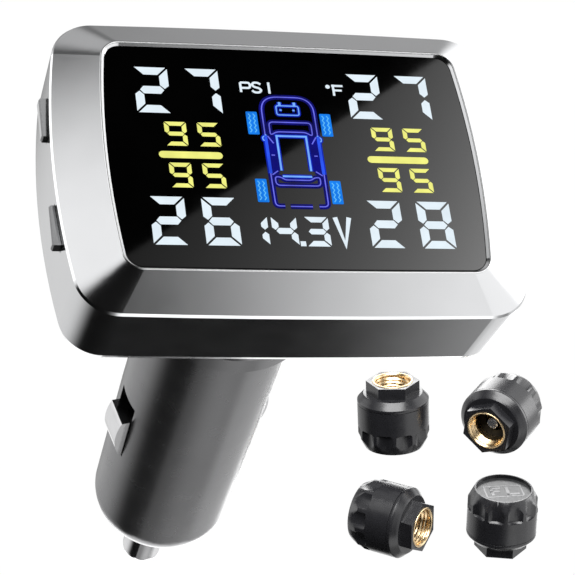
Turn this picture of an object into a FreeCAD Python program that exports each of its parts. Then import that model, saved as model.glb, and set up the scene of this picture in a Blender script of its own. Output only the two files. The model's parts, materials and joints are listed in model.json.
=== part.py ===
import FreeCAD, Part
import math
import os

"""Tire pressure monitor: a reclined colour display on a 12 V dash plug, with four valve sensors.

Row frame, millimetres: +X to the display's right, +Z up, the screen faces -Y and up.
The origin is on the plug's axis, at the face where the collar meets the socket's rim.
Three local frames are used: display (origin on the glass, +Z out of the screen),
plug (+Z along the barrel towards the display) and sensor (+Z out of the valve bore).
"""

V = FreeCAD.Vector

# ---- pose of the assembly
RECLINE = 27.5            # the screen leans back this many degrees from upright
PLUG_DROP = 36.0          # the plug points this far below the horizontal
HINGE_ABOVE_SEAT = 11.5   # hinge axis above the collar's seating face
HINGE_V = 3.0             # hinge axis above the screen's centre, in the display frame
HINGE_W = -27.2           # hinge axis behind the glass

# ---- display outline: half sizes, side and top bulge, corner radius
GLASS = (23.8, 16.1, 1.1, 0.15, 2.1)
RIM = (30.15, 21.3, 2.1, 0.4, 5.6)
REAR = (30.0, 20.45, 2.1, 0.4, 5.4)
CAVITY = (27.6, 17.9, 1.6, 0.3, 4.0)
LIP_OUT = 0.4             # width of the bright chamfer round the glass
LIP_W = 0.3
RIM_W = -2.85
RIM_EDGE = 0.2
REAR_W = -14.6
REAR_ROUND = 1.7
BACK_W = -16.5
CAVITY_W = -4.0
LENS_T = 1.2
LEDGE = 1.3
PLATE_T = 1.6
FIT_GAP = 0.1

# ---- inside the display
LCD_HALF = (21.1, 14.1)
LCD_T = 1.6
LIGHT_T = 2.2
BOARD_TOP = -7.6
BOARD_T = 1.6
BOARD_HALF = (26.4, 11.6)
BOARD_TALL = (21.2, 16.6)
POST_AT = (23.6, 14.0)
POST_R = 2.1
SCREW_R = 1.0
SCREW_HEAD_R = 2.0
SCREW_HEAD_T = 1.0
BUZZER_R = 4.6
BUZZER_T = 3.4
COIL_R = 1.8
COIL_WIRE = 0.35
COIL_PITCH = 1.6
COIL_LENGTH = 8.0

# ---- side keys on the left wall
KEY_V = 7.8
KEY_HALF = 2.8
KEY_FRONT = -4.3
KEY_BACK = -5.8
KEY_PROUD = 0.62
KEY_GAP = 0.17
KEY_FLANGE_U = (-26.9, -26.3)
SWITCH_U = (-25.7, -22.9)

# ---- tilt hinge
EAR_U = (5.0, 8.5)
EAR_R = 6.0
EAR_BASE = 8.0
PIN_R = 2.0
PIN_CLEAR = 0.05
PIN_HEAD_R = 3.7
PIN_HEAD_T = 1.7
NUT_AF = 7.0
NUT_T = 2.2
WASHER_R = 4.2
WASHER_GAP = 0.06
KNUCKLE_HALF = 4.5
KNUCKLE_R = 5.7

# ---- plug
COLLAR_R = 12.5
COLLAR_T = 4.0
BARREL_R = 10.5
BARREL_STRAIGHT = 22.5
BARREL_END_R = 10.2
NOSE_ROUND = 5.8
NOSE_Z = -52.4
BORE_R = 8.7
BORE_FLOOR = -46.0
SPIGOT_T = 8.0
RING_R = 4.2
RING_FACE_R = 4.8
RING_TOP = -49.0
RING_END = -54.6
TIP_R = 3.1
TIP_CLEAR = 0.06
TIP_END = -66.0
TIP_FLANGE_R = 4.5
TIP_FLANGE = (-48.9, -47.7)
FUSE_R = 2.75
FUSE_GLASS_R = 2.5
FUSE_CAP = 5.0
FUSE_Z = (-34.0, -12.0)
SPRING_R = 3.1
SPRING_WIRE = 0.42
SPRING_TURNS = 7.0
SLOT_Z = (-32.0, -20.4)
SLOT_HALF = 2.4
CONTACT_Z = (-31.8, -23.6)
CONTACT_HALF = 2.2
CONTACT_PROUD_R = 11.9
CONTACT_RISE = 4.0        # from the contact's low end up to its crest
CONTACT_TURN = 12.0       # both contacts sit this far round from the display's sides
LEG_END = -45.8           # lower end of each contact's spring leg

WIRE_SIDES = 8
BOARD_Z = (-21.5, -8.0)   # voltage converter board beside the fuse
BOARD_WIDE = 5.0

# ---- wheel sensors: node prefix, body centre, bore axis (azimuth, elevation), spin, cap spin
SENSORS = (
    ("sensor_1", (77.6, 156.9, -18.5), -112.0, 67.7, 31.3, 5.9),
    ("sensor_2", (99.1, 150.7, -19.1), -138.1, -26.3, 37.4, 16.4),
    ("sensor_3", (76.0, 153.0, -40.6), -44.6, -12.3, 21.8, 9.4),
    ("sensor_4", (103.3, 160.7, -41.2), 76.2, -63.2, 38.5, 28.5),
)
SENSOR_H = 14.3
HEX_AF = 9.7
HEX_T = 2.5
SHOULDER_R = 6.2
SENSOR_R = 7.5
BEVEL_Z = -3.9
SPLIT_Z = -4.5
SPLIT_GAP = 0.1
BOSS_R = 5.85
FLOOR_Z = (-8.8, -6.4)
INSERT_R = 4.25
VALVE_R = 3.55            # minor radius of the valve stem's thread
RELIEF_R = 3.85
THREAD_END = -3.1
SEAT_Z = -4.6
GASKET_IN_R = 2.2
GASKET_T = 0.8
DEPRESSOR_R = 1.15
DEPRESSOR_TOP = -3.2
DEPRESSOR_SLOT = 0.4
CAP_BORE_R = 5.95
CAP_TOP_IN = -12.4
CAP_RIM_R = 6.2
CAP_CONE_T = 2.4
FLUTES = 11
FLUTE_R = 3.1
FLUTE_AT = 9.85
FLUTE_END = -9.6
FLUTE_TAPER = 0.35
LABEL_R = 5.8
LABEL_T = 0.25
LABEL_DEPTH = 0.7
DISC_R = 5.75
DISC_T = 0.8
CELL_R = 5.75
CELL_T = 2.2


# ---- frames ---------------------------------------------------------------

def turn_x(angle):
    return FreeCAD.Rotation(V(1, 0, 0), angle)


PLUG = FreeCAD.Placement(V(0, 0, 0), turn_x(90.0 - PLUG_DROP))
HINGE = PLUG.multVec(V(0, 0, HINGE_ABOVE_SEAT))
LEAN = turn_x(90.0 - RECLINE)
DISPLAY = FreeCAD.Placement(HINGE - LEAN.multVec(V(0, HINGE_V, HINGE_W)), LEAN)


def sensor_frame(centre, azimuth, elevation, spin):
    rotation = FreeCAD.Rotation(V(0, 0, 1), azimuth)
    rotation = rotation.multiply(FreeCAD.Rotation(V(0, 1, 0), 90.0 - elevation))
    rotation = rotation.multiply(FreeCAD.Rotation(V(0, 0, 1), spin))
    mouth = V(*centre) + rotation.multVec(V(0, 0, SENSOR_H / 2))
    return FreeCAD.Placement(mouth, rotation)


def save(node, shape, frame):
    placed = shape.copy()
    placed.Placement = frame.multiply(placed.Placement)
    placed.exportStep("parts/" + node + ".step")


# ---- small solids ---------------------------------------------------------

def box(x, y, z):
    """A box from three (low, high) pairs."""
    size = [pair[1] - pair[0] for pair in (x, y, z)]
    return Part.makeBox(size[0], size[1], size[2], V(x[0], y[0], z[0]))


def rod(radius, low, high, x=0.0, y=0.0):
    return Part.makeCylinder(radius, high - low, V(x, y, low))


def rod_x(radius, low, high, y=0.0, z=0.0):
    return Part.makeCylinder(radius, high - low, V(low, y, z), V(1, 0, 0))


def hexagon(across_flats, low, high):
    corner = across_flats / math.sqrt(3.0)
    points = []
    for i in range(7):
        angle = math.radians(60.0 * i)
        points.append(V(corner * math.cos(angle), corner * math.sin(angle), low))
    face = Part.Face(Part.makePolygon(points))
    return face.extrude(V(0, 0, high - low))


def revolve(points):
    """A solid of revolution about Z from (radius, z) points."""
    outline = [V(r, 0, z) for r, z in points]
    face = Part.Face(Part.makePolygon(outline + [outline[0]]))
    return face.revolve(V(0, 0, 0), V(0, 0, 1), 360)


def coil(radius, wire, pitch, length, z):
    """A helical spring of eight-sided wire standing on z."""
    slope = math.atan(pitch / (2 * math.pi * radius))
    out = V(1, 0, 0)
    up = V(0, -math.sin(slope), math.cos(slope))
    points = []
    for i in range(WIRE_SIDES):
        angle = 2 * math.pi * (i + 0.5) / WIRE_SIDES
        points.append(out * (radius + wire * math.cos(angle)) + up * (wire * math.sin(angle)))
    profile = Part.makePolygon(points + [points[0]])
    solid = Part.Wire(Part.makeHelix(pitch, length, radius)).makePipeShell([profile], True, True)
    solid.translate(V(0, 0, z))
    return solid


# ---- bulged rounded outlines ----------------------------------------------

def corner_arc(side_c, side_r, top_c, top_r, radius):
    """Centre and tangent points of the fillet between a side arc and a top arc."""
    a = side_r - radius
    b = top_r - radius
    gap = top_c - side_c
    distance = gap.Length
    along = (a * a - b * b + distance * distance) / (2 * distance)
    across = math.sqrt(a * a - along * along)
    ex = V(gap).normalize()
    centre = side_c + ex * along + V(-ex.y, ex.x, 0) * across
    if centre.x < 0 or centre.y < 0:
        centre = side_c + ex * along - V(-ex.y, ex.x, 0) * across
    on_side = side_c + V(centre - side_c).normalize() * side_r
    on_top = top_c + V(centre - top_c).normalize() * top_r
    middle = centre + (V(on_side - centre).normalize() + V(on_top - centre).normalize()).normalize() * radius
    return on_side, middle, on_top


def outline(shape, w, grow=0.0):
    """A closed wire of four slightly bulged sides and four corner arcs at height w."""
    half_w, half_h, bulge_side, bulge_top, radius = shape
    side_r = (half_h * half_h + bulge_side * bulge_side) / (2 * bulge_side) + grow
    top_r = (half_w * half_w + bulge_top * bulge_top) / (2 * bulge_top) + grow
    half_w = half_w + grow
    half_h = half_h + grow
    side_c = V(half_w - side_r, 0, 0)
    top_c = V(0, half_h - top_r, 0)
    p, q, r = corner_arc(side_c, side_r, top_c, top_r, radius + grow)
    edges = []
    for sx, sy in ((1, 1), (-1, 1), (-1, -1), (1, -1)):
        ends = [V(sx * k.x, sy * k.y, w) for k in (p, q, r)]
        if sx * sy < 0:
            ends.reverse()
        edges.append(Part.Arc(ends[0], ends[1], ends[2]).toShape())
        if sx * sy > 0:
            far = V(-ends[2].x, ends[2].y, w)
            edges.append(Part.Arc(ends[2], V(0, sy * half_h, w), far).toShape())
        else:
            far = V(ends[2].x, -ends[2].y, w)
            edges.append(Part.Arc(ends[2], V(sx * half_w, 0, w), far).toShape())
    return Part.Wire(edges)


def loft(wires):
    return Part.makeLoft(wires, True, True)


def slab(shape, low, high, grow=0.0):
    return Part.Face(outline(shape, low, grow)).extrude(V(0, 0, high - low))


# ---- display --------------------------------------------------------------

def shell_blank():
    """The silver case before it is hollowed: bevelled front, straight walls, rounded rear."""
    mid = REAR_ROUND * (1 - math.cos(math.radians(45)))
    drop = (REAR_W - BACK_W) * math.sin(math.radians(45))
    front = outline(GLASS, LIP_W, LIP_OUT)
    return loft([
        front,
        outline(RIM, RIM_W + RIM_EDGE, -RIM_EDGE),
        outline(RIM, RIM_W - RIM_EDGE),
        outline(REAR, REAR_W),
        outline(REAR, REAR_W - drop, -mid),
        outline(REAR, BACK_W, -REAR_ROUND),
    ])


def post_places():
    u, v = POST_AT
    return [(su * u, sv * v) for su in (-1, 1) for sv in (-1, 1)]


def key_slot(v):
    low = v - KEY_HALF - KEY_GAP
    high = v + KEY_HALF + KEY_GAP
    return box((-34, -27), (low, high), (KEY_BACK - KEY_GAP, KEY_FRONT + KEY_GAP))


def front_shell():
    shell = shell_blank()
    mouth = loft([outline(GLASS, 0.0), outline(GLASS, LIP_W, LIP_OUT)])
    cuts = [mouth, slab(GLASS, -LENS_T, 0.0), slab(GLASS, CAVITY_W - 1, -LENS_T, -LEDGE)]
    cuts.append(slab(CAVITY, BACK_W - 1, CAVITY_W))
    cuts.append(key_slot(KEY_V))
    cuts.append(key_slot(-KEY_V))
    shell = shell.cut(cuts)
    top = BACK_W + PLATE_T
    for u, v in post_places():
        post = rod(POST_R, top, CAVITY_W, u, v).fuse(
            box((min(u, u * 1.15), max(u, u * 1.15)), (v - 1, v + 1), (top, CAVITY_W)))
        shell = shell.fuse(post)
        shell = shell.cut(rod(SCREW_R + PIN_CLEAR, top - 1, top + 6, u, v))
    return shell.removeSplitter()


def screen_lens():
    return slab(GLASS, -LENS_T, 0.0, -FIT_GAP)


def lcd_panel():
    u, v = LCD_HALF
    glass = box((-u, u), (-v, v), (-LENS_T - LCD_T, -LENS_T))
    tail = box((-9, 9), (-v - 0.1, -v + 0.5), (-LENS_T - LCD_T, -LENS_T - LCD_T + 0.4))
    return glass.fuse(tail).removeSplitter()


def backlight():
    u, v = LCD_HALF
    top = -LENS_T - LCD_T
    return box((-u, u), (-v, v), (top - LIGHT_T, top))


def lcd_carrier():
    """A moulded frame that stands the screen off the board."""
    u, v = LCD_HALF
    top = -LENS_T - LCD_T - LIGHT_T
    ring = box((-u, u), (-v, v), (BOARD_TOP, top))
    return ring.cut(box((2 - u, u - 2), (2 - v, v - 2), (BOARD_TOP - 1, top + 1)))


def main_board():
    low = BOARD_TOP - BOARD_T
    wide = box((-BOARD_HALF[0], BOARD_HALF[0]), (-BOARD_HALF[1], BOARD_HALF[1]), (low, BOARD_TOP))
    tall = box((-BOARD_TALL[0], BOARD_TALL[0]), (-BOARD_TALL[1], BOARD_TALL[1]), (low, BOARD_TOP))
    return wide.fuse(tall).removeSplitter()


def board_chips():
    """Processor, radio can, regulator and two capacitors on the board's back."""
    top = BOARD_TOP - BOARD_T
    solids = [
        box((-4, 4), (-14, -6), (top - 1.2, top)),
        box((-20, -9), (1, 11), (top - 2.2, top)),
        box((-18, -12), (-12, -7), (top - 1.4, top)),
        rod(2.2, top - 4.4, top, -7.5, -11.5),
        rod(2.2, top - 4.4, top, -6.0, 13.0),
    ]
    return Part.makeCompound(solids)


def buzzer():
    top = BOARD_TOP - BOARD_T
    body = rod(BUZZER_R, top - BUZZER_T, top, 17, 7)
    return body.cut(rod(1.0, top - BUZZER_T - 1, top - BUZZER_T + 1, 17, 7))


def antenna():
    """The radio's wire coil, lying along the board's lower edge."""
    wound = coil(COIL_R, COIL_WIRE, COIL_PITCH, COIL_LENGTH, 0)
    wound.rotate(V(0, 0, 0), V(0, 1, 0), 90)
    wound.translate(V(10, -11, BOARD_TOP - BOARD_T - COIL_R - COIL_WIRE))
    return wound


def side_switch(v):
    return box(SWITCH_U, (v - 2.2, v + 2.2), (BOARD_TOP, KEY_FRONT))


def side_key(v):
    """A bar key with a chamfered outer edge and a flange that keeps it in the wall."""
    outer = -RIM[0] - KEY_PROUD
    bar = box((outer, KEY_FLANGE_U[1]), (v - KEY_HALF, v + KEY_HALF), (KEY_BACK, KEY_FRONT))
    rims = [e for e in bar.Edges if e.CenterOfMass.x < outer + 1e-3]
    bar = bar.makeChamfer(0.2, rims)
    reach = KEY_HALF + 0.7
    flange = box(KEY_FLANGE_U, (v - reach, v + reach), (KEY_BACK - 0.8, KEY_FRONT + 0.12))
    return bar.fuse(flange).removeSplitter()


def ear(side):
    low, high = sorted((side * EAR_U[0], side * EAR_U[1]))
    eye = rod_x(EAR_R, low, high, HINGE_V, HINGE_W)
    foot = [V(low, HINGE_V - EAR_BASE, BACK_W + 0.2), V(low, HINGE_V - EAR_R, HINGE_W)]
    foot.extend([V(low, HINGE_V + EAR_R, HINGE_W), V(low, HINGE_V + EAR_BASE, BACK_W + 0.2)])
    web = Part.Face(Part.makePolygon(foot + [foot[0]])).extrude(V(high - low, 0, 0))
    return eye.fuse(web)


def back_plate():
    plate = slab(CAVITY, BACK_W, BACK_W + PLATE_T, -FIT_GAP)
    plate = plate.fuse([ear(-1), ear(1)])
    bore = rod_x(PIN_R + PIN_CLEAR, -EAR_U[1] - 1, EAR_U[1] + 1, HINGE_V, HINGE_W)
    cuts = [bore]
    for u, v in post_places():
        cuts.append(rod(SCREW_R + 0.1, BACK_W - 1, BACK_W + 3, u, v))
        cuts.append(rod(SCREW_HEAD_R + 0.1, BACK_W - 1, BACK_W + SCREW_HEAD_T, u, v))
    for u in (-20.0, -17.6, -15.2, 15.2, 17.6, 20.0):
        cuts.append(box((u - 0.5, u + 0.5), (-7, 7), (BACK_W - 1, BACK_W + 3)))
    return plate.cut(cuts).removeSplitter()


def back_screws():
    screws = []
    for u, v in post_places():
        head = rod(SCREW_HEAD_R, BACK_W + 0.1, BACK_W + SCREW_HEAD_T, u, v)
        shank = rod(SCREW_R, BACK_W + SCREW_HEAD_T, BACK_W + PLATE_T + 5, u, v)
        screw = head.fuse(shank)
        for a, b in ((1.2, 0.25), (0.25, 1.2)):
            cross = box((u - a, u + a), (v - b, v + b), (BACK_W - 1, BACK_W + 0.6))
            screw = screw.cut(cross)
        screws.append(screw)
    return Part.makeCompound(screws)


def hinge_pin():
    """Shoulder screw: domed head on the right, shank through both ears."""
    shank = rod_x(PIN_R, -EAR_U[1] - NUT_T - 0.6, EAR_U[1], HINGE_V, HINGE_W)
    head = rod_x(PIN_HEAD_R, EAR_U[1], EAR_U[1] + PIN_HEAD_T, HINGE_V, HINGE_W)
    far = [e for e in head.Edges if e.CenterOfMass.x > EAR_U[1] + PIN_HEAD_T - 1e-3 and e.Closed]
    head = head.makeFillet(0.6, far)
    pin = shank.fuse(head)
    top = EAR_U[1] + PIN_HEAD_T
    slot = box((top - 0.8, top + 1), (HINGE_V - 0.45, HINGE_V + 0.45), (HINGE_W - 4, HINGE_W + 4))
    return pin.cut(slot)


def hinge_nut():
    nut = hexagon(NUT_AF, 0, NUT_T).cut(rod(PIN_R + PIN_CLEAR, -1, NUT_T + 1))
    nut.rotate(V(0, 0, 0), V(0, 1, 0), -90)
    nut.translate(V(-EAR_U[1], HINGE_V, HINGE_W))
    return nut


def hinge_washers():
    rings = []
    for side in (-1, 1):
        low, high = sorted((side * (KNUCKLE_HALF + WASHER_GAP), side * EAR_U[0]))
        ring = rod_x(WASHER_R, low, high, HINGE_V, HINGE_W)
        rings.append(ring.cut(rod_x(PIN_R + PIN_CLEAR, low - 1, high + 1, HINGE_V, HINGE_W)))
    return Part.makeCompound(rings)


# ---- plug -----------------------------------------------------------------

def neck_knuckle():
    """Collar, hinge tab and the spigot that closes the barrel."""
    collar = revolve([
        (0, 0), (COLLAR_R, 0), (COLLAR_R, COLLAR_T - 1.4),
        (COLLAR_R - 1.6, COLLAR_T), (0, COLLAR_T),
    ])
    spigot = rod(BORE_R - FIT_GAP, -SPIGOT_T, 0).fuse(rod(3.0, FUSE_Z[1], -SPIGOT_T))
    half = KNUCKLE_HALF
    tab = box((-half, half), (-KNUCKLE_R, KNUCKLE_R), (COLLAR_T - 1, HINGE_ABOVE_SEAT))
    eye = rod_x(KNUCKLE_R, -half, half, 0, HINGE_ABOVE_SEAT)
    body = collar.fuse([spigot, tab, eye])
    bore = rod_x(PIN_R + PIN_CLEAR, -half - 1, half + 1, 0, HINGE_ABOVE_SEAT)
    return body.cut(bore).removeSplitter()


def nose_curve():
    """The barrel's outline from its straight part round to the nose face."""
    start = V(BARREL_END_R, 0, NOSE_Z + NOSE_ROUND)
    turn = NOSE_ROUND * math.sin(math.radians(45))
    middle = V(BARREL_END_R - NOSE_ROUND + turn, 0, NOSE_Z + NOSE_ROUND - turn)
    end = V(BARREL_END_R - NOSE_ROUND, 0, NOSE_Z)
    return Part.Arc(start, middle, end).toShape()


def barrel_slot(side):
    low, high = sorted((side * (BORE_R - 2), side * (BARREL_R + 2)))
    slot = box((low, high), (-SLOT_HALF, SLOT_HALF), SLOT_Z)
    slot.rotate(V(0, 0, 0), V(0, 0, 1), CONTACT_TURN)
    return slot


def plug_barrel():
    curve = nose_curve()
    top = [V(0, 0, NOSE_Z), V(0, 0, 0), V(BARREL_R, 0, 0), V(BARREL_R, 0, -BARREL_STRAIGHT)]
    top.append(V(BARREL_END_R, 0, NOSE_Z + NOSE_ROUND))
    edges = [Part.makeLine(a, b) for a, b in zip(top, top[1:])]
    edges.append(curve)
    edges.append(Part.makeLine(V(BARREL_END_R - NOSE_ROUND, 0, NOSE_Z), V(0, 0, NOSE_Z)))
    body = Part.Face(Part.Wire(edges)).revolve(V(0, 0, 0), V(0, 0, 1), 360)
    inside = revolve([
        (0, BORE_FLOOR - 3), (5.4, BORE_FLOOR - 3), (BORE_R, BORE_FLOOR), (BORE_R, 1), (0, 1),
    ])
    hole = rod(RING_R + 0.05, NOSE_Z - 1, BORE_FLOOR)
    return body.cut([inside, hole, barrel_slot(-1), barrel_slot(1)]).removeSplitter()


def nose_ring():
    bore = TIP_R + TIP_CLEAR
    return revolve([
        (bore, RING_TOP), (RING_R, RING_TOP), (RING_R, NOSE_Z), (RING_FACE_R, NOSE_Z),
        (RING_FACE_R, RING_END + 0.8), (RING_FACE_R - 0.8, RING_END), (bore, RING_END),
    ])


def tip_contact():
    """Sprung centre contact: domed pin with a stop flange inside the nose."""
    rim = V(TIP_R, 0, TIP_END + TIP_R)
    turn = TIP_R * math.sin(math.radians(45))
    mid = V(turn, 0, TIP_END + TIP_R - turn)
    dome = Part.Arc(rim, mid, V(0, 0, TIP_END)).toShape()
    stops = [V(0, 0, TIP_END), V(0, 0, TIP_FLANGE[1]), V(TIP_FLANGE_R, 0, TIP_FLANGE[1])]
    stops.extend([V(TIP_FLANGE_R, 0, TIP_FLANGE[0]), V(TIP_R, 0, TIP_FLANGE[0]), rim])
    edges = [Part.makeLine(a, b) for a, b in zip(stops, stops[1:])]
    edges.append(dome)
    return Part.Face(Part.Wire(edges)).revolve(V(0, 0, 0), V(0, 0, 1), 360)


def tip_spring():
    low = TIP_FLANGE[1] + SPRING_WIRE + 0.05
    high = FUSE_Z[0] - SPRING_WIRE - 0.05
    length = high - low
    return coil(SPRING_R, SPRING_WIRE, length / SPRING_TURNS, length, low)


def fuse_link():
    low, high = FUSE_Z
    glass = rod(FUSE_GLASS_R, low, high)
    caps = [rod(FUSE_R, low, low + FUSE_CAP), rod(FUSE_R, high - FUSE_CAP, high)]
    return glass.fuse(caps).removeSplitter()


def plug_board():
    """Voltage converter board beside the fuse, with its coil and chip."""
    low, high = BOARD_Z
    board = box((-BOARD_WIDE, BOARD_WIDE), (4.6, 5.8), (low, high))
    choke = box((-3, 3), (5.8, 7.2), (low + 1, low + 6))
    chip = box((-2, 2), (5.8, 7.0), (high - 5, high - 2))
    return board.fuse([choke, chip]).removeSplitter()


def side_contact(side):
    """Bowed earth contact in the barrel's slot, with an inner flange that stops it."""
    low, high = CONTACT_Z
    start = V(BARREL_END_R + 0.3, -CONTACT_HALF, low)
    crest = V(CONTACT_PROUD_R, -CONTACT_HALF, low + CONTACT_RISE)
    end = V(CONTACT_PROUD_R - 0.35, -CONTACT_HALF, high)
    bow = Part.Arc(start, crest, end).toShape()
    corners = [end, V(7.6, -CONTACT_HALF, high), V(7.6, -CONTACT_HALF, low), start]
    edges = [bow] + [Part.makeLine(a, b) for a, b in zip(corners, corners[1:])]
    strip = Part.Face(Part.Wire(edges)).extrude(V(0, 2 * CONTACT_HALF, 0))
    flange = box((7.0, 7.8), (-3.2, 3.2), (LEG_END, high + 0.6))
    contact = strip.cut(box((5, 12), (-4, 4), (low - 1, low))).fuse(flange).removeSplitter()
    half_turn = 180 if side < 0 else 0
    contact.rotate(V(0, 0, 0), V(0, 0, 1), half_turn + CONTACT_TURN)
    return contact


# ---- wheel sensor ---------------------------------------------------------

def sensor_base():
    """Moulded base: hexagon, bevelled shoulder and the boss inside the cap."""
    body = revolve([
        (0, -HEX_T), (SHOULDER_R, -HEX_T), (SENSOR_R, BEVEL_Z), (SENSOR_R, SPLIT_Z),
        (BOSS_R, SPLIT_Z), (BOSS_R, FLOOR_Z[0]), (0, FLOOR_Z[0]),
    ])
    body = body.fuse(hexagon(HEX_AF, -HEX_T, 0))
    return body.cut(rod(INSERT_R, FLOOR_Z[1], 1)).removeSplitter()


def sensor_insert():
    """Brass thread insert: its bore takes the valve stem, which seats on the gasket below."""
    outside = INSERT_R - 0.02
    floor = SEAT_Z - GASKET_T
    return revolve([
        (GASKET_IN_R, FLOOR_Z[1]), (GASKET_IN_R, floor), (RELIEF_R, floor),
        (RELIEF_R, THREAD_END - 0.2), (VALVE_R, THREAD_END), (VALVE_R, -0.3),
        (VALVE_R + 0.3, 0.1), (outside, 0.1), (outside, FLOOR_Z[1]),
    ])


def sensor_gasket():
    ring = rod(RELIEF_R - 0.05, SEAT_Z - GASKET_T, SEAT_Z)
    return ring.cut(rod(GASKET_IN_R, SEAT_Z - 2, SEAT_Z + 1))


def sensor_depressor():
    """Slotted pin that opens the valve core."""
    stem = rod(DEPRESSOR_R, FLOOR_Z[1], DEPRESSOR_TOP)
    half = DEPRESSOR_SLOT / 2
    slot = box((-2, 2), (-half, half), (DEPRESSOR_TOP - 0.5, DEPRESSOR_TOP + 1))
    return stem.cut(slot)


def flute_place(index):
    """Centre of the scallop that follows ridge number index."""
    angle = 2 * math.pi * (index + 0.5) / FLUTES
    return FLUTE_AT * math.cos(angle), FLUTE_AT * math.sin(angle)


def flute(index):
    x, y = flute_place(index)
    groove = rod(FLUTE_R, -SENSOR_H - 1, FLUTE_END - FLUTE_TAPER, x, y)
    foot = V(x, y, FLUTE_END - FLUTE_TAPER)
    return groove.fuse(Part.makeCone(FLUTE_R, FLUTE_R - FLUTE_TAPER, FLUTE_TAPER, foot))


def facets():
    """A pyramid with one flat per scallop, which trims the cap's cone."""
    flat = math.cos(math.pi / FLUTES)
    slope = (SENSOR_R + 0.05 - CAP_RIM_R / flat) / CAP_CONE_T
    wires = []
    for z in (-SENSOR_H, 0.0):
        corner = CAP_RIM_R / flat + slope * (z + SENSOR_H)
        points = []
        for i in range(FLUTES + 1):
            angle = 2 * math.pi * i / FLUTES
            points.append(V(corner * math.cos(angle), corner * math.sin(angle), z))
        wires.append(Part.makePolygon(points))
    return Part.makeLoft(wires, True, True)


def sensor_cap(turn):
    """Grip cap: smooth skirt, scalloped grip, facetted cone and a label recess."""
    end = -SENSOR_H
    body = revolve([
        (CAP_BORE_R, SPLIT_Z - SPLIT_GAP), (SENSOR_R, SPLIT_Z - SPLIT_GAP),
        (SENSOR_R, end + CAP_CONE_T), (CAP_RIM_R, end), (0, end), (0, CAP_TOP_IN),
        (CAP_BORE_R, CAP_TOP_IN),
    ])
    cuts = [flute(i) for i in range(FLUTES)]
    cuts.append(rod(LABEL_R + 0.05, end - 1, end + LABEL_DEPTH + LABEL_T))
    cap = body.common(facets()).cut(cuts)
    cap.rotate(V(0, 0, 0), V(0, 0, 1), turn)
    return cap


def sensor_label():
    face = -SENSOR_H + LABEL_DEPTH
    return rod(LABEL_R, face, face + LABEL_T)


def sensor_board():
    return rod(DISC_R, FLOOR_Z[0] - DISC_T, FLOOR_Z[0])


def sensor_cell():
    top = FLOOR_Z[0] - DISC_T
    return rod(CELL_R, top - CELL_T, top).fuse(rod(CELL_R - 1, top - CELL_T - 0.3, top))


# ---- nodes ----------------------------------------------------------------

DISPLAY_NODES = {
    "front_shell": front_shell,
    "screen_lens": screen_lens,
    "lcd_panel": lcd_panel,
    "backlight": backlight,
    "lcd_carrier": lcd_carrier,
    "main_board": main_board,
    "board_chips": board_chips,
    "buzzer": buzzer,
    "antenna": antenna,
    "back_plate": back_plate,
    "back_screws": back_screws,
    "hinge_pin": hinge_pin,
    "hinge_nut": hinge_nut,
    "hinge_washers": hinge_washers,
}

PLUG_NODES = {
    "neck_knuckle": neck_knuckle,
    "plug_barrel": plug_barrel,
    "nose_ring": nose_ring,
    "tip_contact": tip_contact,
    "tip_spring": tip_spring,
    "fuse": fuse_link,
    "plug_board": plug_board,
}

SENSOR_NODES = {
    "base": sensor_base,
    "insert": sensor_insert,
    "gasket": sensor_gasket,
    "depressor": sensor_depressor,
    "board": sensor_board,
    "battery": sensor_cell,
    "label": sensor_label,
}


def main():
    os.makedirs("parts", exist_ok=True)
    for node, make in DISPLAY_NODES.items():
        save(node, make(), DISPLAY)
    for name, v in (("upper", KEY_V), ("lower", -KEY_V)):
        save("key_" + name, side_key(v), DISPLAY)
        save("switch_" + name, side_switch(v), DISPLAY)
    for node, make in PLUG_NODES.items():
        save(node, make(), PLUG)
    for name, side in (("left", -1), ("right", 1)):
        save("side_contact_" + name, side_contact(side), PLUG)
    for prefix, centre, azimuth, elevation, spin, cap_spin in SENSORS:
        frame = sensor_frame(centre, azimuth, elevation, spin)
        save(prefix + "_cap", sensor_cap(cap_spin), frame)
        for part, make in SENSOR_NODES.items():
            save(prefix + "_" + part, make(), frame)


main()
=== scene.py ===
"""Looks for the tire pressure monitor: finishes, lit display, valve threads, labels and studio."""
import json
import math

import bmesh
import bpy
from mathutils import Matrix, Vector


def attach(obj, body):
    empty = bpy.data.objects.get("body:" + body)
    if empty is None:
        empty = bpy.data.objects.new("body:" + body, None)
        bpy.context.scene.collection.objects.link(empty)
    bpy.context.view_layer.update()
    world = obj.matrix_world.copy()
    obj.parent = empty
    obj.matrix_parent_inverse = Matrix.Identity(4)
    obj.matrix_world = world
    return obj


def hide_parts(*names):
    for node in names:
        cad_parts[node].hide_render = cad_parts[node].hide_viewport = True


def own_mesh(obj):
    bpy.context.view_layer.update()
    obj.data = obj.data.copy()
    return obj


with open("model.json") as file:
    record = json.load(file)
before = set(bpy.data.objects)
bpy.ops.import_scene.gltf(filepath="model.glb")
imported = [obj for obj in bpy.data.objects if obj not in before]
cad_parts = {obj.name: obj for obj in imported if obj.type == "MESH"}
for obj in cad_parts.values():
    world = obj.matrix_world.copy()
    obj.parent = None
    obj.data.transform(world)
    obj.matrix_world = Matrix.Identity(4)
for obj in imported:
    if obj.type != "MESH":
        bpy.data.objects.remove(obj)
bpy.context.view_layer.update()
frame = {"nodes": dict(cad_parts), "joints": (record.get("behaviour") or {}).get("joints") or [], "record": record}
NODES = frame["nodes"]
RECORD = frame["record"]
MM = 0.001

# ---- camera, metres ---------------------------------------------------------

CAMERA_AT = (-0.08427, -0.32258, -0.00987)
CAMERA_LOOK = (0.2779, 0.9600, 0.0345)
CAMERA_LENS = 151.0
CAMERA_SENSOR = 36.0
CAMERA_CLIP = (0.01, 50)

# ---- display, millimetres on the screen's plane ------------------------------

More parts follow.
